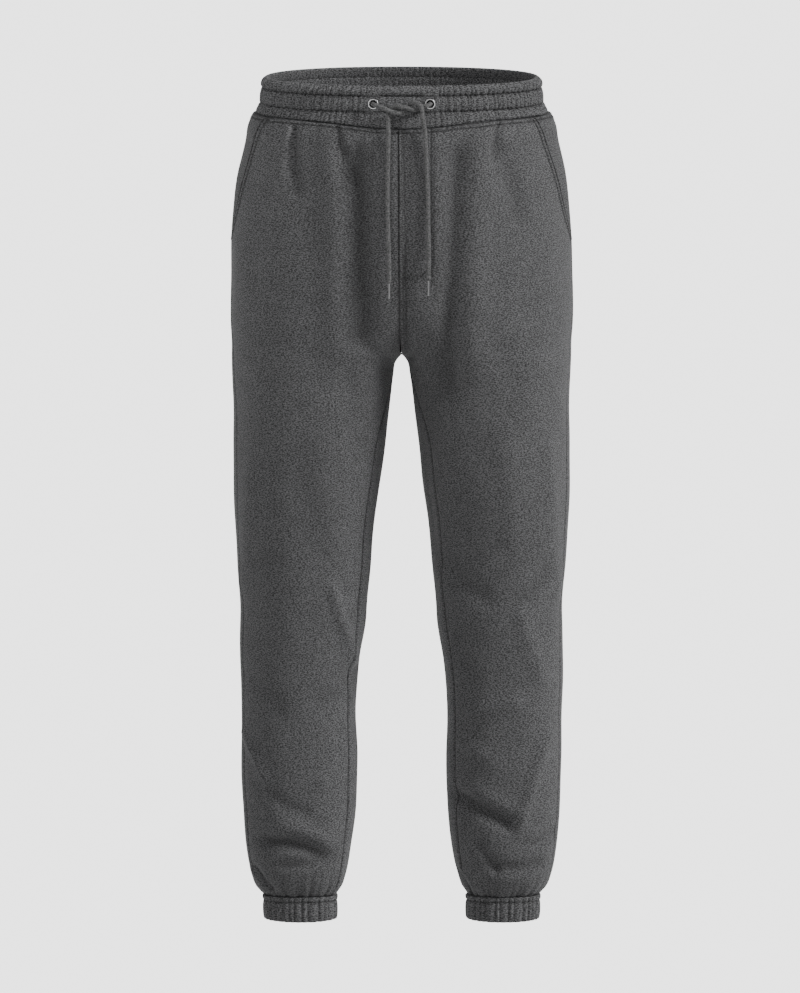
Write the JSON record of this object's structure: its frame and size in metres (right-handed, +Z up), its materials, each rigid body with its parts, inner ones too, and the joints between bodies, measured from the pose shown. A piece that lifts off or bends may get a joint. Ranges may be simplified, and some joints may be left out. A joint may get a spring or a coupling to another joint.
{
  "type": "jogger sweatpants",
  "caption": "Fleece jogger sweatpants filled out as worn, with a gathered elastic waistband, knotted drawcord, slant pockets, mock fly and gathered cuffs.",
  "frame": {"origin": "middle of the waist at half the waistband's height, where the wearer holds the garment", "axes": "+Z up, front faces -Y, wearer's left at +X"},
  "size_m": [0.41, 0.2919, 1.0162],
  "materials": {
    "fleece": "matte heather fleece jersey",
    "elastic_fleece": "matte heather fleece jersey gathered over elastic",
    "cord": "matte braided cord",
    "metal": "satin nickel"
  },
  "bodies": {
    "root": {"front_left": "fleece", "front_right": "fleece", "back_left": "fleece", "back_right": "fleece", "pocket_facing_left": "fleece", "pocket_facing_right": "fleece", "waistband": "elastic_fleece", "cuff_left": "elastic_fleece", "cuff_right": "elastic_fleece", "drawcord_left": "cord", "drawcord_right": "cord", "eyelet_left": "metal", "eyelet_right": "metal", "aglet_left": "metal", "aglet_right": "metal"}
  },
  "joints": []
}
